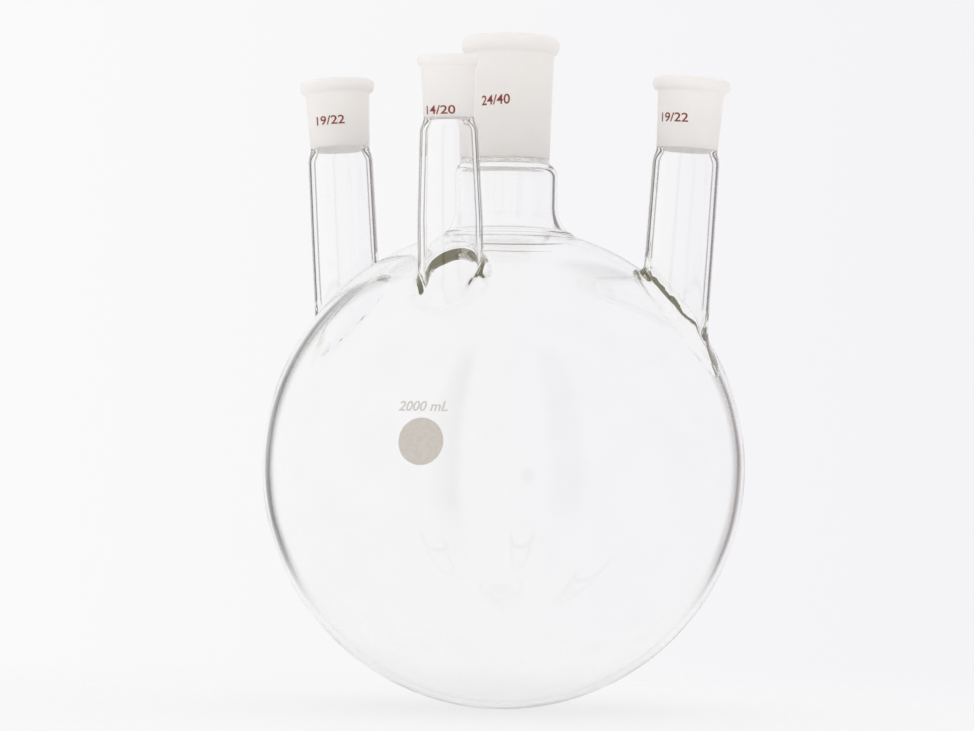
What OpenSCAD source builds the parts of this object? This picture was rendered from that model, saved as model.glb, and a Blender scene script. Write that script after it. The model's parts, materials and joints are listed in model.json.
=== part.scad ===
// Four-neck round-bottom boiling flask.
// The origin is the lowest point of the bulb, +Z is up, and the small front neck is towards -Y.
// An outer neck's own frame has its origin where the neck's axis crosses the outside of the bulb,
// its Z along that axis and its X away from the centre neck.

/* [Bulb] */
// Outer diameter of the bulb
bulb_d = 166; // [165:0.5:170]
// Wall of the bulb
bulb_wall = 2.5; // [2:0.1:3]

/* [Centre neck] */
// Height of the centre lip's top over the lowest point of the bulb
flask_h = 231.6; // [230:0.2:236]
// Bore of the centre socket at its mouth
centre_mouth_d = 24; // [23:0.5:25]
// Length of the centre socket's ground bore
centre_ground_l = 40; // [36:1:42]
// Outer diameter of the centre socket just under its lip
centre_socket_d = 30; // [29:0.2:31]
// Outer diameter of the centre lip
centre_lip_d = 34; // [33:0.2:35]
// Height of the centre lip
centre_lip_h = 6.4; // [6:0.2:7.6]
// Outer diameter of the clear shoulder under the centre socket
shoulder_d = 34; // [33:0.2:35]
// Radius of the outside curve from the shoulder into the bulb
shoulder_flare = 12; // [10:0.5:13]

/* [Left and right necks] */
// Distance of the left neck's foot from the flask's axis
left_reach = 59.6; // [58.8:0.1:60.2]
// Distance of the right neck's foot from the flask's axis
right_reach = 61.2; // [60.4:0.1:61.4]
// Height of the left lip's top over the lowest point of the bulb
left_h = 218; // [212:0.5:222]
// Height of the right lip's top over the lowest point of the bulb
right_h = 215.5; // [212:0.5:222]
// Outward lean of the left neck, in degrees
left_lean = 4.2; // [3.6:0.1:4.8]
// Outward lean of the right neck, in degrees
right_lean = 3.5; // [3.2:0.1:4.2]
// Bore of a side socket at its mouth
side_mouth_d = 18.8; // [18:0.2:19]
// Length of a side socket's ground bore
side_ground_l = 22; // [20:1:24]
// Outer diameter of a side lip
side_lip_d = 26.4; // [25:0.2:27]
// Height of a side lip
side_lip_h = 4.6; // [4:0.2:5]
// Outer diameter of the side tube just under its shoulder
side_neck_d = 22.8; // [22.2:0.1:23.2]
// Outer diameter of the side tube at its foot
side_foot_d = 23.2; // [22.4:0.1:23.4]

/* [Front neck] */
// Distance of the neck's foot from the flask's axis
front_reach = 53; // [52:0.1:54]
// Height of the front lip's top over the lowest point of the bulb
front_h = 218.5; // [212:0.5:222]
// Outward lean of the front neck, in degrees
front_lean = 4.9; // [4.2:0.1:5.6]
// Bore of the front socket at its mouth
front_mouth_d = 14.5; // [14:0.1:14.8]
// Length of the front socket's ground bore
front_ground_l = 20; // [18:1:22]
// Outer diameter of the front lip
front_lip_d = 20.3; // [20.1:0.1:21.5]
// Height of the front lip
front_lip_h = 4.2; // [4:0.1:4.6]
// Outer diameter of the front tube just under its shoulder
front_neck_d = 19.5; // [19:0.1:20]
// Outer diameter of the front tube at its foot
front_foot_d = 21.8; // [21:0.1:22.2]

/* [Outer necks] */
// Width of the fused band outside the foot of a tube
weld_w = 3.2; // [2.8:0.1:3.3]
// Extra glass inside a side neck's fused band
side_bead = 0.4; // [0:0.1:0.8]
// Extra glass inside the front neck's fused band
front_bead = 1.3; // [0:0.1:1.4]

/* [Marking spot] */
// Diameter of the enamel spot
spot_d = 15.5; // [12:0.5:20]
// Height of the spot's middle over the middle of the bulb
spot_rise = 7.5; // [4:0.5:14]
// Turn of the spot's middle from the front towards the right neck, in degrees
spot_turn = 1.5; // [-3:0.5:3]
// Thickness of the enamel
spot_t = 0.12; // [0.1:0.01:0.3]

/* [Hidden] */

$fn = 96;
BALL_FN = 180;
CLEAR = [0.90, 0.93, 0.92, 0.45];
FUSED = [0.78, 0.82, 0.76, 0.6];
FROSTED = [0.91, 0.90, 0.88];
ENAMEL = [0.85, 0.82, 0.78];

bulb_r = bulb_d / 2;

// Every ground socket narrows by one part in ten of its diameter
function ground_end_r(mouth_d, ground_l) = mouth_d / 2 - ground_l / 20;

// A gentle S from 0 to 1
function ease(t) = t * t * (3 - 2 * t);
function blend(a, b, t) = a + (b - a) * t;

// ---- Sockets: a ground bore in a plain wall, with a rolled lip on top ----

LIP_FILLET = 0.8;
MERGE = 0.4;

// The socket's half section, standing on its lower end at height 0
module socket_section(mouth_d, ground_l, top_d, end_d, lip_d, lip_h, lead) {
    height = ground_l + lead;
    bead_r = lip_h / 2;
    bead_x = lip_d / 2 - bead_r;
    bead_y = height - bead_r;
    wall_x = top_d / 2;
    curve_x = wall_x + LIP_FILLET;
    curve_y = bead_y - sqrt(pow(bead_r + LIP_FILLET, 2) - pow(curve_x - bead_x, 2));
    above = height + 1;
    difference() {
        union() {
            polygon([[0, 0], [end_d / 2, 0], [wall_x, curve_y], [wall_x, bead_y], [0, bead_y]]);
            translate([bead_x, bead_y])
                circle(bead_r);
            // The small inside curve where the lip rolls out of the wall
            difference() {
                polygon([[wall_x - MERGE, curve_y], [curve_x, curve_y], [bead_x, bead_y]]);
                translate([curve_x, curve_y])
                    circle(LIP_FILLET);
            }
        }
        polygon([[-above, -1], [ground_end_r(mouth_d, ground_l) - 1 / 20, -1],
                 [mouth_d / 2 + (above - ground_l) / 20, above], [-above, above]]);
    }
}

// ---- Centre neck: it stands on the flask's axis ----

CENTRE_LEAD = 2.2;
CENTRE_END_D = 28.2;
SHOULDER_WALL = 2.4;
SHOULDER_CURVE = 5;
SHOULDER_TURN = 50;
SHOULDER_TOP = 183.2;
SEAL_DIP = 0.45;
SEAL_STEPS = 8;

shoulder_r = shoulder_d / 2;
centre_socket_z = flask_h - CENTRE_LEAD - centre_ground_l;
centre_end_r = ground_end_r(centre_mouth_d, centre_ground_l);

// Middle of the curve that rolls the shoulder out into the bulb, and the cone that parts them
flare_x = shoulder_r + shoulder_flare;
flare_z = bulb_r + sqrt(pow(bulb_r + shoulder_flare, 2) - flare_x * flare_x);
flare_angle = atan(flare_x / (flare_z - bulb_r));
flare_outer = shoulder_flare + bulb_wall;

// Middle of the round top of the shoulder
round_x = shoulder_r - SHOULDER_CURVE;
round_inner = SHOULDER_CURVE - SHOULDER_WALL;
shoulder_edge = [round_x + SHOULDER_CURVE * cos(SHOULDER_TURN),
                 SHOULDER_TOP + SHOULDER_CURVE * sin(SHOULDER_TURN)];
shoulder_inner_edge = [round_x + round_inner * cos(SHOULDER_TURN),
                       SHOULDER_TOP + round_inner * sin(SHOULDER_TURN)];

module centre_socket() {
    color(FROSTED)
        translate([0, 0, centre_socket_z])
            rotate_extrude()
                socket_section(centre_mouth_d, centre_ground_l, centre_socket_d, CENTRE_END_D,
                               centre_lip_d, centre_lip_h, CENTRE_LEAD);
}

// The narrow fused ring, drawn in between the socket and the shoulder
module centre_seal() {
    outer_end = [CENTRE_END_D / 2, centre_socket_z];
    inner_end = [centre_end_r, centre_socket_z];
    outside = [for (i = [0 : SEAL_STEPS]) let (t = i / SEAL_STEPS)
        blend(shoulder_edge, outer_end, t) - [SEAL_DIP * sin(180 * t), 0]];
    inside = [for (i = [0 : SEAL_STEPS]) let (t = i / SEAL_STEPS)
        [blend(inner_end[0], shoulder_inner_edge[0], ease(t)),
         blend(inner_end[1], shoulder_inner_edge[1], t)]];
    color(FUSED)
        rotate_extrude()
            polygon(concat(outside, inside));
}

// A straight stretch with a round top, as a solid blank
module shoulder_blank(wall_r, curve) {
    translate([0, flare_z - 1])
        square([wall_r, SHOULDER_TOP - flare_z + 1]);
    translate([round_x, SHOULDER_TOP])
        circle(curve);
}

// The wide clear stretch: a straight wall with a round top, cut off on a cone where the seal begins
module centre_shoulder() {
    reach = 2 * SHOULDER_CURVE;
    color(CLEAR)
        rotate_extrude()
            intersection() {
                difference() {
                    shoulder_blank(shoulder_r, SHOULDER_CURVE);
                    shoulder_blank(shoulder_r - SHOULDER_WALL, round_inner);
                }
                polygon([[round_x, flare_z], [round_x + reach, flare_z],
                         [round_x + reach, SHOULDER_TOP + reach * tan(SHOULDER_TURN)],
                         [round_x, SHOULDER_TOP]]);
            }
}

// The flare that turns from the shoulder into the bulb, of one wall thickness all the way
module centre_weld() {
    reach = 2 * flare_outer;
    color(FUSED)
        rotate_extrude()
            translate([flare_x, flare_z])
                intersection() {
                    difference() {
                        circle(flare_outer);
                        circle(shoulder_flare);
                    }
                    polygon([[0, 0], [-reach, 0], [-reach, -reach],
                             [-reach * tan(flare_angle), -reach]]);
                }
}

// ---- Bulb ----

HOLE_DEPTH = 32;
HOLE_TOP = 30;

module bulb() {
    low = bulb_r / 2;
    high = bulb_r * 1.2;
    color(CLEAR)
        difference() {
            translate([0, 0, bulb_r])
                sphere(bulb_r, $fn = BALL_FN);
            translate([0, 0, bulb_r])
                sphere(bulb_r - bulb_wall, $fn = BALL_FN);
            translate([0, 0, bulb_r + low])
                cylinder(h = high - low, r1 = low * tan(flare_angle), r2 = high * tan(flare_angle));
            for (neck = [LEFT, RIGHT, FRONT])
                in_neck(neck)
                    translate([0, 0, -HOLE_DEPTH])
                        cylinder(h = HOLE_DEPTH + HOLE_TOP, r = weld_r(neck));
        }
}

// ---- Outer necks ----

// One neck: its turn about the flask, then its sizes from the foot up
TURN = 0;
REACH = 1;
TOP = 2;
LEAN = 3;
MOUTH_D = 4;
GROUND_L = 5;
LEAD = 6;
SOCKET_D = 7;
LIP_D = 8;
LIP_H = 9;
NECK_D = 10;
FOOT_D = 11;
BEAD = 12;

SIDE_SOCKET_D = 22.4;
FRONT_SOCKET_D = 18;
SIDE_LEAD = 1.8;
FRONT_LEAD = 0.6;
SIDE = [side_mouth_d, side_ground_l, SIDE_LEAD, SIDE_SOCKET_D, side_lip_d, side_lip_h,
        side_neck_d, side_foot_d, side_bead];
LEFT = concat([180, left_reach, left_h, left_lean], SIDE);
RIGHT = concat([0, right_reach, right_h, right_lean], SIDE);
FRONT = [-90, front_reach, front_h, front_lean, front_mouth_d, front_ground_l, FRONT_LEAD,
         FRONT_SOCKET_D, front_lip_d, front_lip_h, front_neck_d, front_foot_d, front_bead];

SOCKET_WALL = 2.1;
TUBE_WALL = 1.8;
FOOT_W = 18;
TURN_IN_H = 5;
TURN_IN_STEPS = 10;
WELD_STATIONS = 48;
ARC_STEPS = 8;
WELD_RISE = 3.6;
CUT = 120;

function foot_z(neck) = bulb_r + sqrt(bulb_r * bulb_r - pow(neck[REACH], 2));
function foot_r(neck) = neck[FOOT_D] / 2;
function bore_r(neck) = foot_r(neck) - TUBE_WALL;
function weld_r(neck) = foot_r(neck) + weld_w;
function end_r(neck) = ground_end_r(neck[MOUTH_D], neck[GROUND_L]);
function socket_end_r(neck) = end_r(neck) + SOCKET_WALL;
function lip_w(neck) = (neck[TOP] - foot_z(neck)) / cos(neck[LEAN]);
function socket_w(neck) = lip_w(neck) - neck[GROUND_L] - neck[LEAD];

// Middle of the bulb in the neck's own frame
function ball_x(neck) = (foot_z(neck) - bulb_r) * sin(neck[LEAN]) - neck[REACH] * cos(neck[LEAN]);
function ball_w(neck) = -neck[REACH] * sin(neck[LEAN])
    - (foot_z(neck) - bulb_r) * cos(neck[LEAN]);

// A plane through the neck's axis cuts the ball in a circle. phi is the plane's turn about the axis,
// and ring_r is that circle's radius.
function ring_r(neck, ball, phi) = sqrt(ball * ball - pow(ball_x(neck) * sin(phi), 2));

// The curve, in that plane, that leaves the ball at radius weld_r and runs into the wall at wall_r.
// It is an arc that touches both, and it swells by bead in its middle.
function rolled(neck, ball, wall_r, bead, phi) =
    let (ring = ring_r(neck, ball, phi),
         ring_x = ball_x(neck) * cos(phi),
         start_r = weld_r(neck),
         out_r = (start_r - ring_x) / ring,
         out_w = sqrt(1 - out_r * out_r),
         arc_r = (start_r - wall_r) / (1 - out_r),
         middle = [wall_r + arc_r, ball_w(neck) + (ring + arc_r) * out_w],
         sweep = atan2(out_w, out_r))
    [for (i = [0 : ARC_STEPS])
        let (t = i / ARC_STEPS, a = 180 + sweep * (1 - t), r = arc_r + bead * pow(sin(180 * t), 2))
        middle + r * [cos(a), sin(a)]];

// The slanting plane where a tube ends and its weld begins: its height on the axis and its slope
function touch_w(neck, phi) = rolled(neck, bulb_r, foot_r(neck), 0, phi)[ARC_STEPS][1];
function seam_w(neck) = (touch_w(neck, 0) + touch_w(neck, 180)) / 2 + WELD_RISE;
function seam_slope(neck) = (touch_w(neck, 0) - touch_w(neck, 180)) / neck[FOOT_D];

// Puts its children in the neck's own frame
module in_neck(neck) {
    rotate([0, 0, neck[TURN]])
        translate([neck[REACH], 0, foot_z(neck)])
            rotate([0, neck[LEAN], 0])
                children();
}

// The fused band: one closed section at each station round the neck, joined to the next
module neck_weld(neck) {
    sections = [for (s = [0 : WELD_STATIONS - 1])
        let (phi = 360 * s / WELD_STATIONS,
             outside = rolled(neck, bulb_r, foot_r(neck), 0, phi),
             inside = rolled(neck, bulb_r - bulb_wall, bore_r(neck), neck[BEAD], phi),
             seam = [for (r = [foot_r(neck), bore_r(neck)])
                 [r, seam_w(neck) + seam_slope(neck) * r * cos(phi)]],
             section = concat(outside, seam, [for (i = [ARC_STEPS : -1 : 0]) inside[i]]))
        [for (p = section) [p[0] * cos(phi), p[0] * sin(phi), p[1]]]];
    count = len(sections[0]);
    function at(s, i) = (s % WELD_STATIONS) * count + i % count;
    color(FUSED)
        in_neck(neck)
            polyhedron(
                [for (section = sections) each section],
                [for (s = [0 : WELD_STATIONS - 1], i = [0 : count - 1])
                    each [[at(s, i), at(s + 1, i), at(s + 1, i + 1)],
                          [at(s, i), at(s + 1, i + 1), at(s, i + 1)]]]);
}

// The clear tube: a little wider towards its foot, turned in at the top to meet the socket, and cut
// off below on the slanting plane
module neck_tube(neck) {
    top_w = socket_w(neck);
    neck_r = neck[NECK_D] / 2;
    turned_in = [for (i = [0 : TURN_IN_STEPS]) let (t = i / TURN_IN_STEPS)
        [ease(t), top_w - TURN_IN_H * (1 - t)]];
    outside = [for (p = turned_in) [blend(neck_r, socket_end_r(neck), p[0]), p[1]]];
    inside = [for (p = turned_in) [blend(neck_r - TUBE_WALL, end_r(neck), p[0]), p[1]]];
    color(CLEAR)
        in_neck(neck)
            difference() {
                rotate_extrude()
                    polygon(concat([[bore_r(neck), -HOLE_TOP], [foot_r(neck), -HOLE_TOP],
                                    [foot_r(neck), FOOT_W]],
                                   outside,
                                   [for (i = [TURN_IN_STEPS : -1 : 0]) inside[i]],
                                   [[bore_r(neck), FOOT_W]]));
                translate([0, 0, seam_w(neck)])
                    rotate([0, -atan(seam_slope(neck)), 0])
                        translate([-CUT / 2, -CUT / 2, -CUT])
                            cube(CUT);
            }
}

module neck_socket(neck) {
    color(FROSTED)
        in_neck(neck)
            translate([0, 0, socket_w(neck)])
                rotate_extrude()
                    socket_section(neck[MOUTH_D], neck[GROUND_L], neck[SOCKET_D],
                                   2 * socket_end_r(neck),
                                   neck[LIP_D], neck[LIP_H], neck[LEAD]);
}

module left_weld() {
    neck_weld(LEFT);
}

module left_tube() {
    neck_tube(LEFT);
}

module left_socket() {
    neck_socket(LEFT);
}

module right_weld() {
    neck_weld(RIGHT);
}

module right_tube() {
    neck_tube(RIGHT);
}

module right_socket() {
    neck_socket(RIGHT);
}

module front_weld() {
    neck_weld(FRONT);
}

module front_tube() {
    neck_tube(FRONT);
}

module front_socket() {
    neck_socket(FRONT);
}

// ---- Marking spot: a round of enamel fired on the outside of the bulb, under the front neck ----

module marking_spot() {
    spot_lift = asin(spot_rise / bulb_r);
    color(ENAMEL)
        translate([0, 0, bulb_r])
            intersection() {
                difference() {
                    sphere(bulb_r + spot_t, $fn = BALL_FN);
                    sphere(bulb_r, $fn = BALL_FN);
                }
                rotate([90 - spot_lift, 0, spot_turn])
                    cylinder(h = bulb_d, d = spot_d);
            }
}

bulb();
centre_weld();
centre_shoulder();
centre_seal();
centre_socket();
left_weld();
left_tube();
left_socket();
right_weld();
right_tube();
right_socket();
front_weld();
front_tube();
front_socket();
marking_spot();
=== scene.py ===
# %% [markdown]
# # A four-neck boiling flask
# Round-bottom flasks like this one are built from tubing by hand: a blown bulb, a wide centre neck
# drawn into it, three narrow necks welded on around it, and a ground socket on top of every neck.
# The lesson keeps that order. The measured frame gives the places. Lengths of glass are in
# millimetres until a mesh is made from them, and shaders and the table take metres.

# %% Open the measured frame
import json
import math

import bmesh
import bpy
from mathutils import Matrix, Vector, noise
from mathutils.geometry import delaunay_2d_cdt


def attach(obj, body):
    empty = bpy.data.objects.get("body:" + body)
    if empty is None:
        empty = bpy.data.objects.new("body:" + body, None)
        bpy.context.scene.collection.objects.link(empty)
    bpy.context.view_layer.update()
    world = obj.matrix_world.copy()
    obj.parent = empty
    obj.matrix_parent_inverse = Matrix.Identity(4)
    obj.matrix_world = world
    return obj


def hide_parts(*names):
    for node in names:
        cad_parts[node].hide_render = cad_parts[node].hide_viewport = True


MM = 0.001

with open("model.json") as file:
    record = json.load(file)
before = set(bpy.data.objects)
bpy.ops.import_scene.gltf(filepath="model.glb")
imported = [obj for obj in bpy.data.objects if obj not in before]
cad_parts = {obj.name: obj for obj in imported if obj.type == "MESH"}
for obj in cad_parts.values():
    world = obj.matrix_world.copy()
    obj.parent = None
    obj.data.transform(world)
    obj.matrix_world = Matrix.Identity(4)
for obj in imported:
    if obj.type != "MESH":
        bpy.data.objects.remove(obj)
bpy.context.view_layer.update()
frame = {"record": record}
mounts = {mount["name"]: mount for mount in frame["record"]["mounts"]}

# %% [markdown]
# ## The camera
# A product camera with a long lens stands a little over a metre away, low over the table and some
# twenty degrees round to the right, and looks very slightly up. It leans a touch, so the flask does
# too.

# %% Camera
VIEW_TURN = math.radians(20.8)
VIEW_RISE = math.radians(-2)
VIEW_LEAN = math.radians(1)
VIEW_DISTANCE = 1200
LENS = 128.6
LOOK_SIDE = -6.3
LOOK_H = 118

toward_camera = Vector((math.sin(VIEW_TURN) * math.cos(VIEW_RISE),
                        -math.cos(VIEW_TURN) * math.cos(VIEW_RISE),
                        math.sin(VIEW_RISE)))
view_right = Vector((math.cos(VIEW_TURN), math.sin(VIEW_TURN), 0))
look_at = view_right * LOOK_SIDE + Vector((0, 0, LOOK_H))

camera = bpy.data.objects.new("camera", bpy.data.cameras.new("camera"))
camera.data.lens = LENS
camera.location = (look_at + toward_camera * VIEW_DISTANCE) * MM
upright = toward_camera.to_track_quat("Z", "Y").to_matrix()
camera.rotation_euler = (upright @ Matrix.Rotation(VIEW_LEAN, 3, "Z")).to_euler()
bpy.context.scene.collection.objects.link(camera)
bpy.context.scene.camera = camera
print("camera stands", round(camera.location.z / MM), "mm above the table")

# %% [markdown]
# ## The flask's own sizes
# The bulb and the four mouths come from the frame. Wall thicknesses, lips and fused bands are what
# a glassblower would choose for tubing of these widths.

# %% Bulb and centre neck sizes
BULB_WALL = 2.5
SHOULDER_D = 34
SHOULDER_WALL = 2.4
SHOULDER_CURVE = 5
SHOULDER_TURN = math.radians(50)
SHOULDER_TOP = 183.2
SHOULDER_FLARE = 12
CENTRE_LEAD = 2.2
CENTRE_SOCKET_D = 30
CENTRE_END_D = 28.2
CENTRE_LIP_D = 34
CENTRE_LIP_H = 6.4

bulb_r = mounts["bulb_seat"]["dims"]["r_mm"]
bulb_middle = Vector((0, 0, bulb_r))
centre_mouth_r = mounts["centre_taper_socket"]["dims"]["r_mm"]
centre_ground_l = mounts["centre_taper_socket"]["dims"]["length_mm"]
flask_h = mounts["centre_taper_socket"]["pos_m"][2] / MM
shoulder_r = SHOULDER_D / 2
flare_x = shoulder_r + SHOULDER_FLARE
flare_z = bulb_r + math.sqrt((bulb_r + SHOULDER_FLARE) ** 2 - flare_x ** 2)
flare_angle = math.atan2(flare_x, flare_z - bulb_r)
print("bulb", 2 * bulb_r, "mm wide, flask", flask_h, "mm high")

# %% Outer neck sizes
WELD_W = 3.2
WELD_RISE = 3.6
TUBE_WALL = 1.8
SOCKET_WALL = 2.1
TAPER = 1 / 20


class Neck:
    """One outer neck, in its own frame: w runs up its axis from the bulb, phi 0 points away from
    the centre neck."""

    def __init__(self, name, lead, socket_d, lip_d, lip_h, neck_d, foot_d, bead):
        mount = mounts[name + "_taper_socket"]
        tip = Vector(mount["pos_m"]) / MM
        axis = Vector(mount["axis"]).normalized()
        to_middle = bulb_middle - tip
        beside = (to_middle - axis * to_middle.dot(axis)).length
        foot = tip + axis * (to_middle.dot(axis) + math.sqrt(bulb_r ** 2 - beside ** 2))
        self.name = name
        self.length = (tip - foot).length
        self.turn = math.atan2(axis.y, axis.x)
        self.lean = math.acos(axis.z)
        self.place = (Matrix.Translation(foot) @ Matrix.Rotation(self.turn, 4, "Z")
                      @ Matrix.Rotation(self.lean, 4, "Y"))
        middle = self.place.inverted() @ bulb_middle
        self.ball_x, self.ball_w = middle.x, middle.z
        self.mouth_r = mount["dims"]["r_mm"]
        self.ground_l = mount["dims"]["length_mm"]
        self.lead = lead
        self.socket_d, self.lip_d, self.lip_h = socket_d, lip_d, lip_h
        self.neck_r, self.foot_r, self.bead = neck_d / 2, foot_d / 2, bead
        self.bore_r = self.foot_r - TUBE_WALL
        self.weld_r = self.foot_r + WELD_W
        self.end_r = self.mouth_r - self.ground_l * TAPER
        self.socket_w = self.length - self.ground_l - lead


SIDE_SIZES = {"lead": 1.8, "socket_d": 22.4, "lip_d": 26.4, "lip_h": 4.6, "neck_d": 22.8,
              "foot_d": 23.2, "bead": 0.4}
FRONT_SIZES = {"lead": 0.6, "socket_d": 18, "lip_d": 20.3, "lip_h": 4.2, "neck_d": 19.5,
               "foot_d": 21.8, "bead": 1.3}

necks = [Neck("left", **SIDE_SIZES), Neck("right", **SIDE_SIZES), Neck("front", **FRONT_SIZES)]
for neck in necks:
    print(neck.name, "neck is", round(neck.length, 1), "mm long and leans",
          round(math.degrees(neck.lean), 2), "degrees")

# %% [markdown]
# ## Finishes in plain sums
# Shader nodes are easier to read as sums than as wires. A `Signal` wraps an output socket, so it can
# be added and multiplied like a number, and a `Recipe` makes every other node with one method.

# %% Signals and recipes
class Signal:
    """An output socket that can be added and multiplied like a number."""

    def __init__(self, recipe, socket):
        self.recipe = recipe
        self.socket = socket

    def sum(self, operation, *values):
        return self.recipe.node("ShaderNodeMath", {"operation": operation},
                                dict(enumerate(values)))

    def __add__(self, other):
        return self.sum("ADD", self, other)

    def __sub__(self, other):
        return self.sum("SUBTRACT", self, other)

    def __mul__(self, other):
        return self.sum("MULTIPLY", self, other)

    def __rsub__(self, other):
        return self.sum("SUBTRACT", other, self)

    def __gt__(self, other):
        return self.sum("GREATER_THAN", self, other)

    __radd__ = __add__
    __rmul__ = __mul__

    def size(self):
        return self.sum("ABSOLUTE", self)

    def ramp(self, low, high):
        """0 below low, 1 above high, and a smooth step between."""
        return self.recipe.node("ShaderNodeMapRange", {"interpolation_type": "SMOOTHSTEP"},
                                {"Value": self, "From Min": low, "From Max": high})


class Recipe:
    """The node tree of one material or of the world."""

    def __init__(self, owner):
        owner.use_nodes = True
        self.tree = owner.node_tree
        self.tree.nodes.clear()

    def node(self, kind, settings=None, inputs=None, output=0):
        made = self.tree.nodes.new(kind)
        for name, value in (settings or {}).items():
            setattr(made, name, value)
        for name, value in (inputs or {}).items():
            if isinstance(value, Signal):
                self.tree.links.new(value.socket, made.inputs[name])
            else:
                made.inputs[name].default_value = value
        return Signal(self, made.outputs[output]) if made.outputs else None

    def mix(self, share, first, second):
        """A colour between two colours. The node's colour sockets share their names with others,
        so they are taken by their places."""
        return self.node("ShaderNodeMix", {"data_type": "RGBA"},
                         {0: share, 6: first, 7: second}, output=2)

    def layer(self, share, first, second):
        """A shader between two shaders."""
        return self.node("ShaderNodeMixShader", {}, {0: share, 1: first, 2: second})

    def noise(self, scale, detail=2.0):
        """Cloudy noise that is fixed to the piece; scale counts its waves in a metre."""
        place = self.node("ShaderNodeTexCoord", output="Object")
        return self.node("ShaderNodeTexNoise", {}, {"Vector": place, "Scale": scale,
                                                    "Detail": detail})

    def bump(self, height, distance):
        return self.node("ShaderNodeBump", {}, {"Height": height, "Distance": distance,
                                                "Strength": 1.0})

    def light_path(self, depth):
        """How many times the light has already bounced in one way."""
        return self.node("ShaderNodeLightPath", output=depth + " Depth")

    def finish(self, shader, kind="ShaderNodeOutputMaterial"):
        self.node(kind, {}, {"Surface": shader})


def new_recipe(name):
    material = bpy.data.materials.new(name)
    return material, Recipe(material)


def color(red, green, blue):
    """A colour as a paint chart gives it, 0 to 255, in the linear values that shaders use."""
    def linear(value):
        part = value / 255
        return part / 12.92 if part <= 0.04045 else ((part + 0.055) / 1.055) ** 2.4
    return (linear(red), linear(green), linear(blue), 1.0)

# %% [markdown]
# ## Glass
# Borosilicate glass bends light by an index of 1.47. Blown glass is never quite even, so a very
# shallow, wide bump stands for the waves that the flame leaves. Where two pieces of glass are fused
# there is no surface between them, so their meeting faces get a shader that lets light straight
# through: a ray then crosses the seam as it would in one piece.
#
# Two more things colour glass. Seen nearly edge-on, a wall is looked through along its length, so
# it tints there, short of the very rim; on the tubes that band is dark, painted shade laid into the
# colour by the viewing angle where dark rim lines would be. And some light is trapped in a lump
# of glass and runs round inside it until it comes out olive, the colour of glass seen through its
# depth. A renderer gives such light up as black, so after a few bounces inside the glass it glows
# that olive instead: painted light, given by an emission.

# %% Clear glass, fused glass and the seam
GLASS_INDEX = 1.474
DRIFT_SCALE = 60
DRIFT = (0.4, 0.65)
EDGE_ON = (0.58, 0.68)
MOST_BOUNCES = 5.5
# Colour of the painted olive glow that the glass gives off inside.
TRAPPED_OLIVE_GLOW = color(104, 98, 72)


def make_glass(name, thin, drift_tint_and_edge_shade, wave_scale, wave_depth, slant=0.0, far=(0.96, 1.0)):
    """Glass with a tint that drifts at random from the thin colour to the second one, and waves of a
    depth in metres. slant is how much of the second colour shows where the glass is seen edge-on,
    short of far: a tint on pale glass, and painted edge shade where that colour is dark."""
    material, recipe = new_recipe(name)
    drift = recipe.noise(DRIFT_SCALE).ramp(*DRIFT)
    edge_on = recipe.node("ShaderNodeLayerWeight", {}, {"Blend": 0.5}, output="Facing")
    # The edge-on band: a tint on pale glass, and painted edge shade where the second colour is dark.
    slanting = edge_on.ramp(*EDGE_ON) * (1 - edge_on.ramp(*far))
    waves = recipe.noise(wave_scale, detail=1.0)
    trapped = recipe.light_path("Glossy") > MOST_BOUNCES
    glass = recipe.node("ShaderNodeBsdfPrincipled", {}, {
        "Base Color": recipe.mix(drift * (1 - slant) + slanting * slant, thin, drift_tint_and_edge_shade),
        "Roughness": 0.0,
        "IOR": GLASS_INDEX,
        "Transmission Weight": 1.0,
        "Normal": recipe.bump(waves, wave_depth),
    })
    # Painted light: past MOST_BOUNCES glossy bounces the glass glows olive by an emission.
    olive_glow = recipe.node("ShaderNodeEmission", {}, {"Color": TRAPPED_OLIVE_GLOW})
    recipe.finish(recipe.layer(trapped, glass, olive_glow))
    material.cycles.emission_sampling = "NONE"
    return material


clear_glass = make_glass("clear_glass", color(254, 254, 254), color(253, 253, 253),
                         wave_scale=35, wave_depth=0.00006)
fused_glass = make_glass("fused_glass", color(253, 253, 253), color(242, 242, 230),
                         wave_scale=200, wave_depth=0.00025, slant=0.95)
# The tubes' dark second colour is painted shade: dark rim lines laid on by the viewing angle.
tube_glass = make_glass("tube_glass", color(254, 254, 254), color(112, 102, 94),
                        wave_scale=35, wave_depth=0.00006, slant=1.0, far=(0.74, 0.84))

clear_seam, recipe = new_recipe("clear_seam")
recipe.finish(recipe.node("ShaderNodeBsdfTransparent"))
print("glass bends light by", GLASS_INDEX)

# %% [markdown]
# ## Ground glass
# The sockets are ground with wet grit, which leaves a fine matte skin. Light goes in and comes out
# everywhere, so it looks like pale warm stone more than like glass. A part of the finish glows with
# the light behind it, a small part of the rest lets light through with a wide blur, and what is
# left scatters it, with grain a fraction of a millimetre across.

# %% Ground glass
GROUND_THROUGH = 0.15
GROUND_GLOW = 0.35
GRAIN_SCALE = 2600
GRAIN_DEPTH = 0.00008
CLOUD_SCALE = 90

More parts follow.
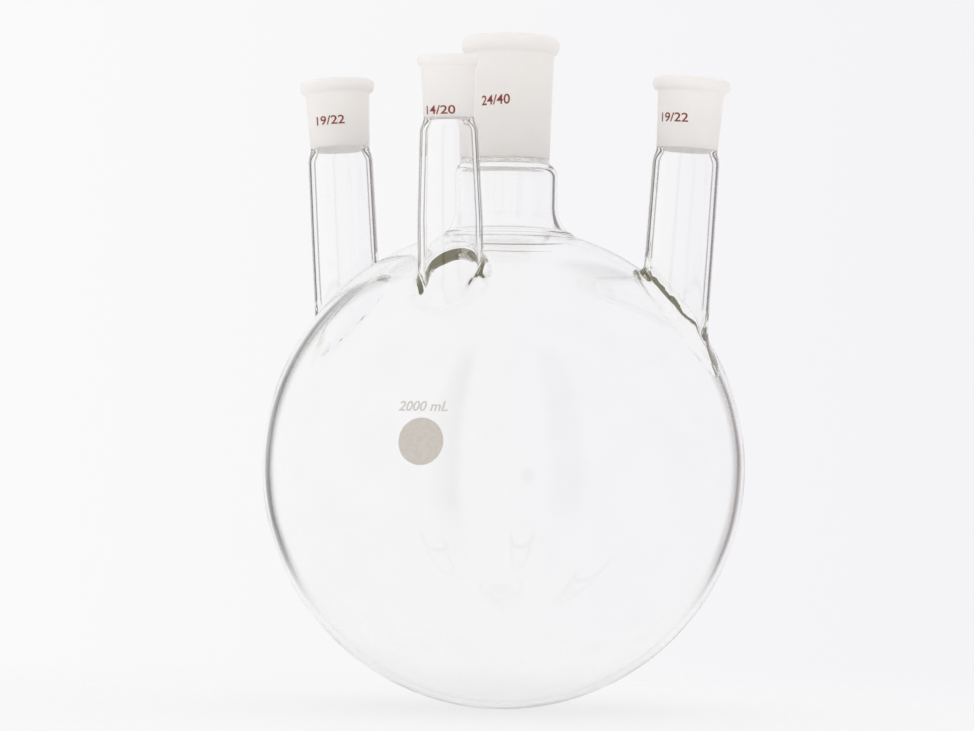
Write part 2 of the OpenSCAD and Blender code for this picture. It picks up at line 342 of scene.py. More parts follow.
ground_glass, recipe = new_recipe("ground_glass")
grain = recipe.noise(GRAIN_SCALE, detail=3.0)
cloud = recipe.noise(CLOUD_SCALE).ramp(0.3, 0.7)
matte = recipe.node("ShaderNodeBsdfPrincipled", {}, {
    "Base Color": recipe.mix(cloud, color(255, 253, 251), color(253, 251, 249)),
    "Roughness": 0.5 + 0.15 * grain,
    "IOR": GLASS_INDEX,
    "Transmission Weight": GROUND_THROUGH,
    "Normal": recipe.bump(grain, GRAIN_DEPTH),
})
glow = recipe.node("ShaderNodeBsdfTranslucent", {}, {"Color": color(255, 253, 252)})
recipe.finish(recipe.layer(GROUND_GLOW, matte, glow))
print("ground glass glows with", GROUND_GLOW, "of the light behind it")

# %% [markdown]
# ## Enamel and ink
# The writing spot is a dab of matte white enamel, brushed on and fired. The sizes are screen-printed
# in fired ink, brick red on the sockets and pale grey on the bulb.

# %% Enamel and ink


def make_paint(name, light, dark, scale, depth):
    """Matte fired paint, mottled between two colours, with a grain of a depth in metres."""
    material, recipe = new_recipe(name)
    mottle = recipe.noise(scale, detail=4.0)
    recipe.finish(recipe.node("ShaderNodeBsdfPrincipled", {}, {
        "Base Color": recipe.mix(mottle.ramp(0.35, 0.65), light, dark),
        "Roughness": 0.6 + 0.2 * mottle,
        "Normal": recipe.bump(mottle, depth),
    }))
    return material


enamel = make_paint("enamel", color(204, 197, 189), color(198, 191, 183), 900, 0.00003)
red_ink = make_paint("red_ink", color(146, 66, 50), color(126, 50, 38), 2500, 0.00001)
grey_ink = make_paint("grey_ink", color(214, 209, 203), color(198, 193, 187), 2500, 0.00001)
print("finishes:", [material.name for material in bpy.data.materials])

# %% [markdown]
# ## Turning glass on the lathe
# Most of the flask is turned: a glass lathe spins the tube in the flame, so every socket, tube and
# shoulder is one outline swept about an axis. Spin or Screw would do it once, but ten pieces share
# the rule, so it is a Geometry Nodes tree. The outline is drawn as a loop of edges, x across and y
# up. The tree carries it round a circle of stations, slides the lowest ring up to a slanting plane
# where a tube is cut to sit on the bulb, and gives the meeting faces the seam's shader.

# %% The lathe
STATIONS = 96
SWING = 0.05
NO_CUT = (-1.0, 0.0)


def lathe_tree():
    """The outline is drawn about its own middle line, so the tree first sets it back by the
    circle's radius, SWING in metres, and the sweep then carries it out again."""
    tree = bpy.data.node_groups.new("glass_lathe", "GeometryNodeTree")
    face = tree.interface
    for name, kind in (("Outline", "Geometry"), ("Stations", "Int"), ("Cut height", "Float"),
                       ("Cut slope", "Float"), ("Finish", "Material"), ("Seam", "Material")):
        face.new_socket(name, in_out="INPUT", socket_type="NodeSocket" + kind)
    face.new_socket("Glass", in_out="OUTPUT", socket_type="NodeSocketGeometry")

    def node(kind, settings=None, **inputs):
        made = tree.nodes.new(kind)
        for name, value in (settings or {}).items():
            setattr(made, name, value)
        for name, value in inputs.items():
            socket = made.inputs[name.replace("_", " ")]
            if isinstance(value, bpy.types.NodeSocket):
                tree.links.new(value, socket)
            else:
                socket.default_value = value
        return made.outputs

    given = node("NodeGroupInput")
    loop = node("GeometryNodeMeshToCurve", Mesh=given["Outline"])["Curve"]
    loop = node("GeometryNodeTransform", Geometry=loop, Translation=(-SWING, 0, 0),
                Rotation=(math.pi, 0, 0))["Geometry"]
    circle = node("GeometryNodeCurvePrimitiveCircle", Resolution=given["Stations"],
                  Radius=SWING)["Curve"]
    glass = node("GeometryNodeCurveToMesh", Curve=circle, Profile_Curve=loop)["Mesh"]
    place = node("ShaderNodeSeparateXYZ", Vector=node("GeometryNodeInputPosition")["Position"])
    slope = tree.nodes.new("ShaderNodeMath")
    slope.operation = "MULTIPLY_ADD"
    for index, value in enumerate((place["X"], given["Cut slope"], given["Cut height"])):
        tree.links.new(value, slope.inputs[index])
    lifted = tree.nodes.new("ShaderNodeMath")
    lifted.operation = "MAXIMUM"
    tree.links.new(place["Z"], lifted.inputs[0])
    tree.links.new(slope.outputs[0], lifted.inputs[1])
    moved = node("ShaderNodeCombineXYZ", X=place["X"], Y=place["Y"], Z=lifted.outputs[0])
    glass = node("GeometryNodeSetPosition", Geometry=glass, Position=moved["Vector"])["Geometry"]
    glass = node("GeometryNodeSetShadeSmooth", Geometry=glass)["Geometry"]
    glass = node("GeometryNodeRealizeInstances", Geometry=glass)["Geometry"]
    glass = node("GeometryNodeSetMaterial", Geometry=glass, Material=given["Finish"])["Geometry"]
    seam = node("GeometryNodeInputNamedAttribute", {"data_type": "BOOLEAN"}, Name="seam")
    glass = node("GeometryNodeSetMaterial", Geometry=glass, Selection=seam["Attribute"],
                 Material=given["Seam"])["Geometry"]
    node("NodeGroupOutput", Glass=glass)
    return tree


glass_lathe = lathe_tree()
print("the lathe has", len(glass_lathe.nodes), "nodes")

# %% Pieces on the frame
SHARP = math.radians(40)


def keep(name, mesh, node):
    """Puts a finished mesh on the frame as the piece that stands for a CAD node."""
    piece = bpy.data.objects.new(name, mesh)
    bpy.context.scene.collection.objects.link(piece)
    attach(piece, "root")
    if node:
        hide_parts(node)
    print(name, len(mesh.polygons), "faces")
    return piece


def turn(name, outline, seam_points, finish, place=Matrix(), cut=None):
    """Turns an outline of (radius, height) points; seam_points are those at its fused ends, and
    cut is the height on the axis and the slope of a slanting plane that trims its foot."""
    blank = bpy.data.meshes.new(name + "_outline")
    count = len(outline)
    blank.from_pydata([(r * MM, w * MM, 0) for r, w in outline],
                      [(i, (i + 1) % count) for i in range(count)], [])
    marks = blank.attributes.new("seam", "BOOLEAN", "POINT")
    for index in seam_points:
        marks.data[index].value = True
    drawing = bpy.data.objects.new(name + "_outline", blank)
    bpy.context.scene.collection.objects.link(drawing)
    modifier = drawing.modifiers.new("lathe", "NODES")
    modifier.node_group = glass_lathe
    height, slope = (cut[0] * MM, cut[1]) if cut else NO_CUT
    values = {"Stations": STATIONS, "Cut height": height, "Cut slope": slope,
              "Finish": finish, "Seam": clear_seam}
    for item in glass_lathe.interface.items_tree:
        if item.name in values:
            modifier[item.identifier] = values[item.name]
    graph = bpy.context.evaluated_depsgraph_get()
    mesh = bpy.data.meshes.new_from_object(drawing.evaluated_get(graph))
    bpy.data.objects.remove(drawing)
    mesh.name = name
    mesh.transform(Matrix.Scale(MM, 4) @ place @ Matrix.Scale(1 / MM, 4))
    mesh.set_sharp_from_angle(angle=SHARP)
    return mesh


# %% [markdown]
# ## Ground sockets
# A socket is a taper bore, one part in ten, in a plain wall, with a lip rolled over a carbon tool at
# the top. The outline goes up the bore, over the lip and down the outside. A small curve leads from
# the lip into the wall, and the mouth's edge is rounded as the flame leaves it.

# %% Sockets
LIP_FILLET = 0.8
MOUTH_ROUND = 0.5
LIP_STEPS = 28
UNDER_STEPS = 10
FILLET_STEPS = 6
WALL_STEPS = 12
CENTRE_SQUARE = 2.4
SIDE_SQUARE = 2.8


def arc(middle, radius, start, end, steps):
    """Points on an arc, angles in radians, both ends included."""
    return [(middle[0] + radius * math.cos(start + (end - start) * i / steps),
             middle[1] + radius * math.sin(start + (end - start) * i / steps))
            for i in range(steps + 1)]


def line(start, end, steps):
    """Points on a straight line, without its last one."""
    return [(start[0] + (end[0] - start[0]) * i / steps,
             start[1] + (end[1] - start[1]) * i / steps) for i in range(steps)]


def under_lip(top_d, lip_d, lip_h, height):
    """Middle of the small curve between the lip and the wall."""
    bead_r = lip_h / 2
    across = top_d / 2 + LIP_FILLET
    down = math.sqrt((bead_r + LIP_FILLET) ** 2 - (across - lip_d / 2 + bead_r) ** 2)
    return across, height - bead_r - down


def socket_outline(mouth_r, ground_l, lead, top_d, end_d, lip_d, lip_h, square):
    """square flattens the top of the lip: 2 leaves it round, more makes it a collar."""
    height = ground_l + lead
    bead_r = lip_h / 2
    bead = (lip_d / 2 - bead_r, height - bead_r)
    wall_x = top_d / 2
    curve_x, curve_y = under_lip(top_d, lip_d, lip_h, height)
    mouth = (mouth_r + lead * TAPER + MOUTH_ROUND, height - MOUTH_ROUND)
    bore_end = (mouth_r + lead * TAPER, height - MOUTH_ROUND)
    lip = []
    for i in range(LIP_STEPS + 1):
        angle = math.pi / 2 * (1 - i / LIP_STEPS)
        lip.append((bead[0] + bead_r * math.cos(angle) ** (2 / square),
                    bead[1] + bead_r * math.sin(angle) ** (2 / square)))
    under = math.atan2(curve_y - bead[1], curve_x - bead[0])
    return (line((mouth_r - ground_l * TAPER, 0), bore_end, WALL_STEPS)
            + arc(mouth, MOUTH_ROUND, math.pi, math.pi / 2, FILLET_STEPS)
            + lip
            + arc(bead, bead_r, 0, under, UNDER_STEPS)[1:]
            + arc((curve_x, curve_y), LIP_FILLET, under + math.pi, math.pi, FILLET_STEPS)[1:]
            + line((wall_x, curve_y), (end_d / 2, 0), WALL_STEPS)[1:]
            + [(end_d / 2, 0)])


def make_socket(name, place, square, *sizes):
    """sizes are those of socket_outline, in its order."""
    outline = socket_outline(*sizes, square)
    mesh = turn(name, outline, (0, len(outline) - 1), ground_glass, place)
    keep(name + "_glass", mesh, name)


centre_socket_z = flask_h - CENTRE_LEAD - centre_ground_l
make_socket("centre_socket", Matrix.Translation((0, 0, centre_socket_z)), CENTRE_SQUARE,
            centre_mouth_r, centre_ground_l, CENTRE_LEAD, CENTRE_SOCKET_D, CENTRE_END_D,
            CENTRE_LIP_D, CENTRE_LIP_H)
for neck in necks:
    make_socket(neck.name + "_socket", neck.place @ Matrix.Translation((0, 0, neck.socket_w)),
                SIDE_SQUARE, neck.mouth_r, neck.ground_l, neck.lead, neck.socket_d,
                2 * (neck.end_r + SOCKET_WALL), neck.lip_d, neck.lip_h)

# %% [markdown]
# ## Centre neck
# Below its socket the centre neck is drawn in to a short fused ring, then swells to a wide straight
# shoulder, and then turns out into the bulb through a flare. The three are turned as three pieces,
# because each was worked on its own. Faint rings stay in the flare where the two glasses were fused.

# %% Fused ring under the centre socket
SEAL_DIP = 0.45
SEAL_STEPS = 16


def ease(t):
    """Slow at both ends, from 0 to 1."""
    return t * t * (3 - 2 * t)


def blend(a, b, t):
    return a + (b - a) * t


round_x = shoulder_r - SHOULDER_CURVE
round_inner = SHOULDER_CURVE - SHOULDER_WALL
shoulder_edge = arc((round_x, SHOULDER_TOP), SHOULDER_CURVE, SHOULDER_TURN, 0, 1)[0]
shoulder_inner_edge = arc((round_x, SHOULDER_TOP), round_inner, SHOULDER_TURN, 0, 1)[0]
ring_steps = [i / SEAL_STEPS for i in range(SEAL_STEPS + 1)]
inside = [(blend(shoulder_inner_edge[0], centre_mouth_r - centre_ground_l * TAPER, ease(t)),
           blend(shoulder_inner_edge[1], centre_socket_z, t)) for t in ring_steps]
outside = [(blend(CENTRE_END_D / 2, shoulder_edge[0], t) - SEAL_DIP * math.sin(math.pi * t),
            blend(centre_socket_z, shoulder_edge[1], t)) for t in ring_steps]
count = len(inside)
mesh = turn("centre_seal", inside + outside, (0, count - 1, count, 2 * count - 1), clear_glass)
keep("centre_seal_glass", mesh, "centre_seal")

# %% Wide shoulder
SIDE_STEPS = 6
INNER_STEPS = 10
OUTER_STEPS = 16

bore_x = shoulder_r - SHOULDER_WALL
inside = (line((bore_x, flare_z), (bore_x, SHOULDER_TOP), SIDE_STEPS)
          + arc((round_x, SHOULDER_TOP), round_inner, 0, SHOULDER_TURN, INNER_STEPS))
outside = (arc((round_x, SHOULDER_TOP), SHOULDER_CURVE, SHOULDER_TURN, 0, OUTER_STEPS)
           + line((shoulder_r, SHOULDER_TOP), (shoulder_r, flare_z), SIDE_STEPS)[1:]
           + [(shoulder_r, flare_z)])
mesh = turn("centre_shoulder", inside + outside,
            (0, len(inside) - 1, len(inside), len(inside) + len(outside) - 1), clear_glass)
keep("centre_shoulder_glass", mesh, "centre_shoulder")

# %% Flare into the bulb
# A fused ring is given as its place up the flask, its height off the glass and its half width.
FLARE_STEPS = 110
FUSED_RINGS = ((171, 0.03, 0.3), (163.6, 0.3, 0.5))
flare = (flare_x, flare_z)
flare_end = 1.5 * math.pi - flare_angle


def ringed(point):
    """Lifts a point of the flare where a fused ring runs at its height."""
    lift = sum(height * math.exp(-((point[1] - z) / width) ** 2) for z, height, width in FUSED_RINGS)
    away = Vector(point) - Vector(flare)
    away.normalize()
    return tuple(Vector(point) - away * lift)


inside = arc(flare, SHOULDER_FLARE + BULB_WALL, flare_end, math.pi, FLARE_STEPS)
outside = [ringed(p) for p in arc(flare, SHOULDER_FLARE, math.pi, flare_end, FLARE_STEPS)]
count = len(inside)
mesh = turn("centre_weld", inside + outside, (0, count - 1, count, 2 * count - 1), clear_glass)
keep("centre_weld_glass", mesh, "centre_weld")

# %% [markdown]
# ## Fused bands of the outer necks
# An outer neck isn't square to the bulb: it stands off to one side, so its band is not a turned
# shape. In every plane through the neck's axis the bulb is a circle, and the band's outline there is
# an arc that touches both that circle and the tube's wall. A mesh of such arcs is easy to compute
# station by station. Inside, the glass has run together into an uneven bead, which noise stands for.

# %% Rolled curve between bulb and tube
ARC_STEPS = 14


def rolled(neck, ball, wall_r, bead, phi):
    """Points (radius, w) from the ball to the wall in the plane that stands at phi."""
    ring = math.sqrt(ball ** 2 - (neck.ball_x * math.sin(phi)) ** 2)
    out_r = (neck.weld_r - neck.ball_x * math.cos(phi)) / ring
    out_w = math.sqrt(1 - out_r ** 2)
    arc_r = (neck.weld_r - wall_r) / (1 - out_r)
    middle = (wall_r + arc_r, neck.ball_w + (ring + arc_r) * out_w)
    sweep = math.atan2(out_w, out_r)
    points = []
    for i in range(ARC_STEPS + 1):
        t = i / ARC_STEPS
        angle = math.pi + sweep * (1 - t)
        radius = arc_r + bead * math.sin(math.pi * t) ** 2
        points.append((middle[0] + radius * math.cos(angle), middle[1] + radius * math.sin(angle)))
    return points


def seam_plane(neck):
    """Height on the axis and slope of the plane where the tube ends and its band begins."""
    away = rolled(neck, bulb_r, neck.foot_r, 0, 0)[-1][1]
    near = rolled(neck, bulb_r, neck.foot_r, 0, math.pi)[-1][1]
    return (away + near) / 2 + WELD_RISE, (away - near) / (2 * neck.foot_r)


for neck in necks:
    neck.seam = seam_plane(neck)
    print(neck.name, "tube is cut at", round(neck.seam[0], 2), "mm, slope", round(neck.seam[1], 3))

# %% Bands
LUMP_SIZE = 5.5
LUMP_H = {"left": 0.35, "right": 0.5, "front": 0.7}
LUMP_SHARES = (0.3, 1.0)
SEAM_STEPS = 3


def up_to_seam(neck, points, wall_r, phi):
    """Carries a rolled curve on, straight up the wall to the plane where the tube begins."""
    height, slope = neck.seam
    end = (wall_r, height + slope * wall_r * math.cos(phi))
    return points + line(points[-1], end, SEAM_STEPS)[1:] + [end]


def make_band(neck):
    """For each station, the outer skin from bulb to tube and the inner skin back again."""
    rows = []
    for s in range(STATIONS):
        phi = 2 * math.pi * s / STATIONS
        outer = rolled(neck, bulb_r, neck.foot_r, 0, phi)
        inner = rolled(neck, bulb_r - BULB_WALL, neck.bore_r, neck.bead, phi)
        skins = (up_to_seam(neck, outer, neck.foot_r, phi),
                 up_to_seam(neck, inner, neck.bore_r, phi)[::-1])
        rows.append([[neck.place @ Vector((r * math.cos(phi), r * math.sin(phi), w))
                      for r, w in skin] for skin in skins])
    return rows


def skin_normals(neck, rows, skin):
    """Smooth normals of one skin of a band, exact where it meets the bulb and the tube."""
    axis = neck.place.to_3x3() @ Vector((0, 0, 1))
    foot = neck.place.translation
    steps = len(rows[0][skin])
    sign = 1 if skin == 0 else -1
    normals = []
    for s in range(STATIONS):
        row = rows[s][skin]
        before, after = rows[s - 1][skin], rows[(s + 1) % STATIONS][skin]
        line_normals = []
        for i in range(steps):
            at_ball = i == (0 if skin == 0 else steps - 1)
            at_tube = i == (steps - 1 if skin == 0 else 0)
            if at_ball:
                normal = sign * (row[i] - bulb_middle)
            elif at_tube:
                offset = row[i] - foot
                normal = sign * (offset - axis * offset.dot(axis))
            else:
                normal = (after[i] - before[i]).cross(row[i + 1] - row[i - 1])
            line_normals.append(normal.normalized())
        normals.append(line_normals)
    return normals


def band_mesh(neck):
    """The band with its lumps, which fade out towards the bulb and the tube."""
    rows = make_band(neck)
    lump = LUMP_H[neck.name]
    normals = [skin_normals(neck, rows, skin) for skin in (0, 1)]
    steps = len(rows[0][0])
    for s in range(STATIONS):
        for skin, share in enumerate(LUMP_SHARES):
            for i in range(1, steps - 1):
                t = i / (steps - 1)
                point = rows[s][skin][i]
                swell = noise.noise(point / LUMP_SIZE) * lump * share * math.sin(math.pi * t) ** 2
                rows[s][skin][i] = point + normals[skin][s][i] * swell
    normals = [skin_normals(neck, rows, skin) for skin in (0, 1)]
    verts = [point * MM for row in rows for skin in row for point in skin]
    vert_normals = [normals[skin][s][i] for s in range(STATIONS) for skin in (0, 1)
                    for i in range(steps)]
    around = 2 * steps
    faces, seams = [], []
    for s in range(STATIONS):
        here, there = s * around, (s + 1) % STATIONS * around
        for i in range(around):
            j = (i + 1) % around
            faces.append((here + i, there + i, there + j, here + j))
            seams.append(i in (steps - 1, around - 1))
    return glass_mesh(neck.name + "_weld", verts, faces, seams, vert_normals, fused_glass)


def glass_mesh(name, verts, faces, seams, normals, finish):
    """A closed mesh with its own smooth normals, whose seam faces let light straight through."""
    mesh = bpy.data.meshes.new(name)
    mesh.from_pydata(verts, [], faces)
    mesh.materials.append(finish)
    mesh.materials.append(clear_seam)
    mesh.polygons.foreach_set("material_index", [int(seam) for seam in seams])
    mesh.polygons.foreach_set("use_smooth", [True] * len(faces))
    mesh.normals_split_custom_set_from_vertices(normals)
    return mesh


for neck in necks:
    keep(neck.name + "_weld_glass", band_mesh(neck), neck.name + "_weld")

# %% [markdown]
# ## Outer necks' tubes
# Each tube is turned on the lathe: a little wider at its foot, drawn in at the top to meet its
# socket, and cut off below on the slanting plane of its band.

# %% Tubes
TURN_IN_H = 5
TURN_IN_STEPS = 16
FOOT_W = 18
SPARE_H = 1


def make_tube(neck):
    below = neck.seam[0] - abs(neck.seam[1]) * neck.foot_r - SPARE_H
    drawn_in = [(ease(i / TURN_IN_STEPS), neck.socket_w - TURN_IN_H * (1 - i / TURN_IN_STEPS))
                for i in range(TURN_IN_STEPS + 1)]
    outside = [(blend(neck.neck_r, neck.end_r + SOCKET_WALL, t), w) for t, w in drawn_in]
    inside = [(blend(neck.neck_r - TUBE_WALL, neck.end_r, t), w) for t, w in drawn_in]
    inside = ([(neck.bore_r, below)]
              + line((neck.bore_r, FOOT_W), inside[0], WALL_STEPS) + inside)
    outside = ([(neck.foot_r, below)]
               + line((neck.foot_r, FOOT_W), outside[0], WALL_STEPS) + outside)
    count = len(inside)
    outline = inside + outside[::-1]
    mesh = turn(neck.name + "_tube", outline, (0, count - 1, count, 2 * count - 1), tube_glass,
                neck.place, neck.seam)
    keep(neck.name + "_tube_glass", mesh, neck.name + "_tube")


for neck in necks:
    make_tube(neck)

# %% [markdown]
# ## Bulb
# The bulb is a blown shell with four holes. A UV sphere with a Boolean would leave slivers round the
# holes, and they show in glass. Points are laid in rings all over the shell instead, flattened onto
# a plane by the mapmaker's stereographic projection from the top, and joined there by a Delaunay
# triangulation that keeps the holes' rims as edges. That projection turns circles into circles, so
# well-shaped triangles on the map are well shaped on the ball. Each normal points straight away from
# the middle of the bulb.

# %% Bulb
POINT_GAP = 2.6
RIM_GAP = 1.5
FEWEST = 6
INSIDE_TOO = 0
SAME_POINT = 1e-9


def rim(neck, ball, wall_r):
    """The hole in the bulb for one neck, as points of the same stations as its band."""
    points = []
    for s in range(STATIONS):
        phi = 2 * math.pi * s / STATIONS
        r, w = rolled(neck, ball, wall_r, 0, phi)[0]
        points.append(neck.place @ Vector((r * math.cos(phi), r * math.sin(phi), w)))
    return points


def top_rim(ball):
    """The hole in the bulb for the centre neck's flare."""
    r, z = ball * math.sin(flare_angle), bulb_r + ball * math.cos(flare_angle)
    return [Vector((r * math.cos(2 * math.pi * s / STATIONS),
                    r * math.sin(2 * math.pi * s / STATIONS), z)) for s in range(STATIONS)]


def clear_of_holes(point):
    for neck in necks:
        local = neck.place.inverted() @ point
        if local.z > neck.ball_w / 2 and math.hypot(local.x, local.y) < neck.weld_r + RIM_GAP:
            return False
    return (point - bulb_middle).angle(Vector((0, 0, 1))) > flare_angle + RIM_GAP / bulb_r


def ball_points(ball):
    """Points in rings all over a ball, each ring turned half a gap against the next."""
    points = [bulb_middle - Vector((0, 0, ball))]
    rows = round(math.pi * ball / POINT_GAP)
    for k in range(1, rows):
        low = math.pi * k / rows
        count = max(FEWEST, round(2 * math.pi * math.sin(low) * ball / POINT_GAP))
        for i in range(count):
            turned = 2 * math.pi * (i + 0.5 * (k % 2)) / count
            point = bulb_middle + ball * Vector((math.sin(low) * math.cos(turned),
                                                 math.sin(low) * math.sin(turned),
                                                 -math.cos(low)))
            if clear_of_holes(point):
                points.append(point)
    return points


def bulb_skin(ball, wall_rs):
    """Points and triangles of one skin of the bulb; the rims' points come first."""
    rims = [rim(neck, ball, wall_r) for neck, wall_r in zip(necks, wall_rs)] + [top_rim(ball)]
    points = [point for loop in rims for point in loop] + ball_points(ball)
    edges = [(k * STATIONS + s, k * STATIONS + (s + 1) % STATIONS)
             for k in range(len(rims)) for s in range(STATIONS)]
    flat = []
    for point in points:
        away = (point - bulb_middle).normalized()
        flat.append(Vector((away.x, away.y)) / (1 - away.z))
    found = delaunay_2d_cdt(flat, edges, [], INSIDE_TOO, SAME_POINT)
    faces, sources = found[2], found[3]
    triangles = []
    for face in faces:
        corners = [sources[corner][0] for corner in face]
        holes = {corner // STATIONS for corner in corners}
        if len(holes) > 1 or holes.pop() >= len(necks):
            triangles.append(corners)
    return points, triangles


def bulb_mesh():
    outer, outer_faces = bulb_skin(bulb_r, [neck.foot_r for neck in necks])
    inner, inner_faces = bulb_skin(bulb_r - BULB_WALL, [neck.bore_r for neck in necks])
    shift = len(outer)
    faces = [tuple(reversed(face)) for face in outer_faces]
    faces += [tuple(shift + corner for corner in face) for face in inner_faces]
    skins = len(faces)
    for k in range(len(necks) + 1):
        for s in range(STATIONS):
            here, there = k * STATIONS + s, k * STATIONS + (s + 1) % STATIONS
            faces.append((here, shift + here, shift + there, there))
    normals = [(point - bulb_middle).normalized() for point in outer]
    normals += [(bulb_middle - point).normalized() for point in inner]
    seams = [index >= skins for index in range(len(faces))]
    verts = [point * MM for point in outer + inner]
    return glass_mesh("bulb", verts, faces, seams, normals, clear_glass)


keep("bulb_glass", bulb_mesh(), "bulb")

# %% [markdown]
# ## Writing spot and printed sizes
# Every print is drawn flat and then laid on the glass, so that it bends with it. A letter's long
# straight sides have no points between their ends, so the flat letters are first cut into narrow
# strips.

# %% Writing spot
SPOT_D = 15.5
SPOT_RISE = 7.5
SPOT_TURN = math.radians(1.5)
SPOT_T = 0.12
SPOT_GAP = 0.01
SPOT_RINGS = 14
SPOT_EDGE = 0.6
RAGGED = 0.012
RAGS = 4


def spot_rings():
    """The spot's back and then its front, each as rings from its middle out to its edge."""
    tilt = math.asin(SPOT_RISE / bulb_r)
    turned = Matrix.Rotation(SPOT_TURN, 3, "Z")
    outward = turned @ Vector((0, -math.cos(tilt), math.sin(tilt)))
    across = turned @ Vector((1, 0, 0))
    upward = outward.cross(across)
    rings = []
    for layer in (0, 1):
        for ring in range(SPOT_RINGS + 1):
            out = SPOT_D / 2 * ring / SPOT_RINGS
            edge = min(1.0, (SPOT_D / 2 - out) / SPOT_EDGE)
            lift = SPOT_GAP if layer == 0 else SPOT_GAP + SPOT_T * math.sqrt(1 - (1 - edge) ** 2)
            row = []
            for s in range(STATIONS):
                angle = 2 * math.pi * s / STATIONS
                heading = Vector((math.cos(angle), math.sin(angle), 0))
                ragged = 1 + RAGGED * noise.noise(heading * RAGS)
                flat = (across * heading.x + upward * heading.y) * out * ragged
                away = (outward * bulb_r + flat).normalized()
                row.append(bulb_middle + away * (bulb_r + lift))
            rings.append(row)
    return rings


def spot_mesh():
    rings = spot_rings()
    build = bmesh.new()
    half = SPOT_RINGS + 1
    front, back = rings[half:], rings[:half]
    tip_front, tip_back = build.verts.new(front[0][0] * MM), build.verts.new(back[0][0] * MM)
    made = [[build.verts.new(point * MM) for point in row] for row in front[1:] + back[:0:-1]]
    for s in range(STATIONS):
        t = (s + 1) % STATIONS
        build.faces.new((tip_front, made[0][s], made[0][t]))
        build.faces.new((tip_back, made[-1][t], made[-1][s]))
        for row, following in zip(made, made[1:]):
            build.faces.new((row[s], following[s], following[t], row[t]))
    bmesh.ops.recalc_face_normals(build, faces=build.faces)
    mesh = bpy.data.meshes.new("marking_spot")
    build.to_mesh(mesh)
    build.free()
    mesh.materials.append(enamel)
    mesh.polygons.foreach_set("use_smooth", [True] * len(mesh.polygons))
    mesh.set_sharp_from_angle(angle=SHARP)
    return mesh


keep("marking_spot_enamel", spot_mesh(), "marking_spot")

# %% Printed sizes
INK_T = 0.03
INK_GAP = 0.02
STRIP = 0.5
BLOCK_T = 0.01
SAME_PLACE = 1e-6


def flat_print(text, height, width, bold=0.012, lean=0.0):
    """The text as a thin closed slab of the given size in millimetres, its middle at the origin."""
    curve = bpy.data.curves.new(text, "FONT")
    curve.body = text
    curve.extrude = BLOCK_T
    curve.offset = bold
    curve.shear = lean
    drawing = bpy.data.objects.new(text, curve)
    bpy.context.scene.collection.objects.link(drawing)
    graph = bpy.context.evaluated_depsgraph_get()
    mesh = bpy.data.meshes.new_from_object(drawing.evaluated_get(graph))
    bpy.data.objects.remove(drawing)
    build = bmesh.new()
    build.from_mesh(mesh)
    bmesh.ops.remove_doubles(build, verts=build.verts, dist=SAME_PLACE)
    low = [min(v.co[axis] for v in build.verts) for axis in range(3)]
    high = [max(v.co[axis] for v in build.verts) for axis in range(3)]
    for vert in build.verts:
        share = [(vert.co[axis] - low[axis]) / (high[axis] - low[axis]) for axis in range(3)]
        vert.co = ((share[0] - 0.5) * width, (share[1] - 0.5) * height, share[2] * INK_T)
    cuts = int(width / STRIP)
    for i in range(1, cuts):
        everything = list(build.verts) + list(build.edges) + list(build.faces)
        bmesh.ops.bisect_plane(build, geom=everything, plane_no=(1, 0, 0),
                               plane_co=((i / cuts - 0.5) * width, 0, 0))
    bmesh.ops.recalc_face_normals(build, faces=build.faces)
    return build


def lay(name, build, ink, wrap):
    """Lays a flat print on the glass; wrap takes (across, up, lift) to a place."""
    for vert in build.verts:
        vert.co = wrap(vert.co.x, vert.co.y, vert.co.z + INK_GAP) * MM
    mesh = bpy.data.meshes.new(name)
    build.to_mesh(mesh)
    build.free()
    mesh.materials.append(ink)
    keep(name, mesh, None)


def on_socket(place, base_r, slope, height, facing, tilt=0.0):
    """Wraps a print round a socket whose wall has radius base_r at height 0 and grows by slope."""
    def wrap(across, up, lift):
        w = height + up + across * tilt
        radius = base_r + slope * w + lift
        angle = facing + across / radius
        return place @ Vector((radius * math.cos(angle), radius * math.sin(angle), w))
    return wrap


def on_bulb(rise, turned):
    """Wraps a print on the bulb: rise is its height above the bulb's middle."""
    def wrap(across, up, lift):
        tilt = math.asin(rise / bulb_r) + up / bulb_r
        angle = turned + across / (bulb_r * math.cos(tilt))
        away = Vector((math.cos(tilt) * math.cos(angle), math.cos(tilt) * math.sin(angle),
                       math.sin(tilt)))
        return bulb_middle + away * (bulb_r + lift)
    return wrap


# %% Where each size is printed
# A size's print is given as its text, its letters' height and its width, how high on the socket it
# stands, how far it is turned from the front, and how much it tilts.
FACING = -math.pi / 2
CENTRE_PRINT = ("24/40", (3.4, 10.5), 19.2, 0, 0.05)
NECK_PRINTS = {"left": ("19/22", (3.1, 10.6), 9, 0.105, 0.0),
               "right": ("19/22", (3.1, 10.6), 9.8, -0.21, 0.0),
               "front": ("14/20", (2.85, 10.8), 2.3, 0, 0.0)}
CAPACITY_SIZE = (3.4, 17)
CAPACITY_RISE = 11.4


def socket_print(name, place, turned, end_d, top_d, lip_d, lip_h, socket_h, given):
    """turned is how far the socket's own frame is turned from the flask's."""
    text, size, height, aside, tilt = given
    slope = (top_d - end_d) / 2 / under_lip(top_d, lip_d, lip_h, socket_h)[1]
    lay(name, flat_print(text, *size), red_ink,
        on_socket(place, end_d / 2, slope, height, FACING - turned + aside, tilt))


